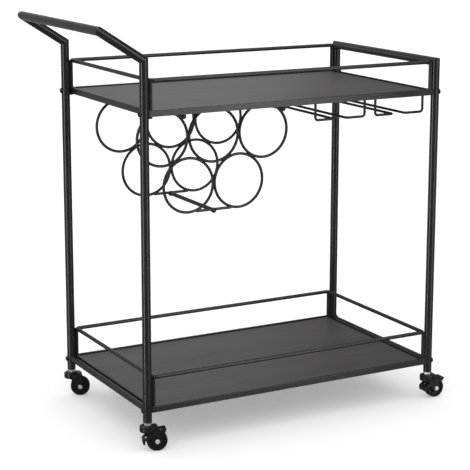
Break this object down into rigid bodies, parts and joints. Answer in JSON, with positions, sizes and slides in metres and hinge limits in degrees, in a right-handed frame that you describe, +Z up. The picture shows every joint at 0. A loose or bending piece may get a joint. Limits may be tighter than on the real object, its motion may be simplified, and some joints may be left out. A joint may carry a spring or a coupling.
{
  "type": "bar cart",
  "caption": "Two-tier rolling bar cart with guard-railed shelves, a push handle, a wire bottle rack, stemware hangers and swivel casters.",
  "frame": {"origin": "middle of the footprint of the whole cart, on the floor", "axes": "+X along the cart away from the push handle, +Y from the front to the back, +Z up"},
  "size_m": [0.7793, 0.4077, 0.8065],
  "materials": {
    "powder_black": "satin powder coat",
    "rack_wire": "satin powder coat on wire",
    "board": "matt grey foil with a fine lengthwise grain",
    "black_fastener": "black oxide",
    "black_plastic": "moulded",
    "caster_black": "gloss black",
    "zinc": "zinc plated",
    "tyre": "matt",
    "wheel_core": "moulded",
    "lever_plastic": "moulded"
  },
  "bodies": {
    "cart": {"bottom_board_screws": "black_fastener", "bottom_guard_rail": "powder_black", "bottom_shelf_board": "board", "bottom_tray_frame": "powder_black", "caster_bl_stem": "zinc", "caster_bl_thrust_washer": "zinc", "caster_br_stem": "zinc", "caster_br_thrust_washer": "zinc", "caster_fl_stem": "zinc", "caster_fl_thrust_washer": "zinc", "caster_fr_stem": "zinc", "caster_fr_thrust_washer": "zinc", "left_end_frame": "powder_black", "leg_inserts": "black_plastic", "right_end_frame": "powder_black", "stemware_rack_left": "rack_wire", "stemware_rack_right": "rack_wire", "stemware_rack_screws": "black_fastener", "top_board_screws": "black_fastener", "top_guard_rail": "powder_black", "top_shelf_board": "board", "top_tray_frame": "powder_black", "tray_bolts": "black_fastener", "wine_rack_back": "rack_wire", "wine_rack_front": "rack_wire", "wine_rack_tab_screws": "black_fastener", "wine_rack_tie_rods": "rack_wire", "wine_rack_tie_screws": "black_fastener"},
    "fl_swivel": {"caster_fl_fork": "caster_black", "caster_fl_axle": "zinc", "caster_fl_axle_nut": "zinc", "caster_fl_lever_pins": "caster_black"},
    "fl_roller": {"caster_fl_wheel": "wheel_core", "caster_fl_tyre": "tyre"},
    "fl_brake": {"caster_fl_brake_lever": "lever_plastic"},
    "bl_swivel": {"caster_bl_fork": "caster_black", "caster_bl_axle": "zinc", "caster_bl_axle_nut": "zinc"},
    "bl_roller": {"caster_bl_wheel": "wheel_core", "caster_bl_tyre": "tyre"},
    "fr_swivel": {"caster_fr_fork": "caster_black", "caster_fr_axle": "zinc", "caster_fr_axle_nut": "zinc", "caster_fr_lever_pins": "caster_black"},
    "fr_roller": {"caster_fr_wheel": "wheel_core", "caster_fr_tyre": "tyre"},
    "fr_brake": {"caster_fr_brake_lever": "lever_plastic"},
    "br_swivel": {"caster_br_fork": "caster_black", "caster_br_axle": "zinc", "caster_br_axle_nut": "zinc"},
    "br_roller": {"caster_br_wheel": "wheel_core", "caster_br_tyre": "tyre"}
  },
  "joints": [
    {"name": "fl_swivel_turn", "type": "hinge", "parent": "cart", "child": "fl_swivel", "pos_m": [-0.294, -0.185, 0.045], "axis": [0, 0, 1], "continuous": true},
    {"name": "fl_wheel_spin", "type": "hinge", "parent": "fl_swivel", "child": "fl_roller", "pos_m": [-0.27736, -0.19041, 0.02], "axis": [0.309, 0.9511, 0], "continuous": true},
    {"name": "fl_brake_press", "type": "hinge", "parent": "fl_swivel", "child": "fl_brake", "pos_m": [-0.28259, -0.18871, 0.0345], "axis": [0.309, 0.9511, 0], "range_deg": [-6, 5]},
    {"name": "bl_swivel_turn", "type": "hinge", "parent": "cart", "child": "bl_swivel", "pos_m": [-0.294, 0.185, 0.045], "axis": [0, 0, 1], "continuous": true},
    {"name": "bl_wheel_spin", "type": "hinge", "parent": "bl_swivel", "child": "bl_roller", "pos_m": [-0.27801, 0.17788, 0.02], "axis": [0.4067, 0.9135, 0], "continuous": true},
    {"name": "fr_swivel_turn", "type": "hinge", "parent": "cart", "child": "fr_swivel", "pos_m": [0.352, -0.185, 0.045], "axis": [0, 0, 1], "continuous": true},
    {"name": "fr_wheel_spin", "type": "hinge", "parent": "fr_swivel", "child": "fr_roller", "pos_m": [0.36949, -0.18561, 0.02], "axis": [0.0349, 0.9994, 0], "continuous": true},
    {"name": "fr_brake_press", "type": "hinge", "parent": "fr_swivel", "child": "fr_brake", "pos_m": [0.36399, -0.18542, 0.0345], "axis": [0.0349, 0.9994, 0], "range_deg": [-11, 0]},
    {"name": "br_swivel_turn", "type": "hinge", "parent": "cart", "child": "br_swivel", "pos_m": [0.352, 0.185, 0.045], "axis": [0, 0, 1], "continuous": true},
    {"name": "br_wheel_spin", "type": "hinge", "parent": "br_swivel", "child": "br_roller", "pos_m": [0.36912, 0.18136, 0.02], "axis": [0.2079, 0.9781, 0], "continuous": true}
  ]
}
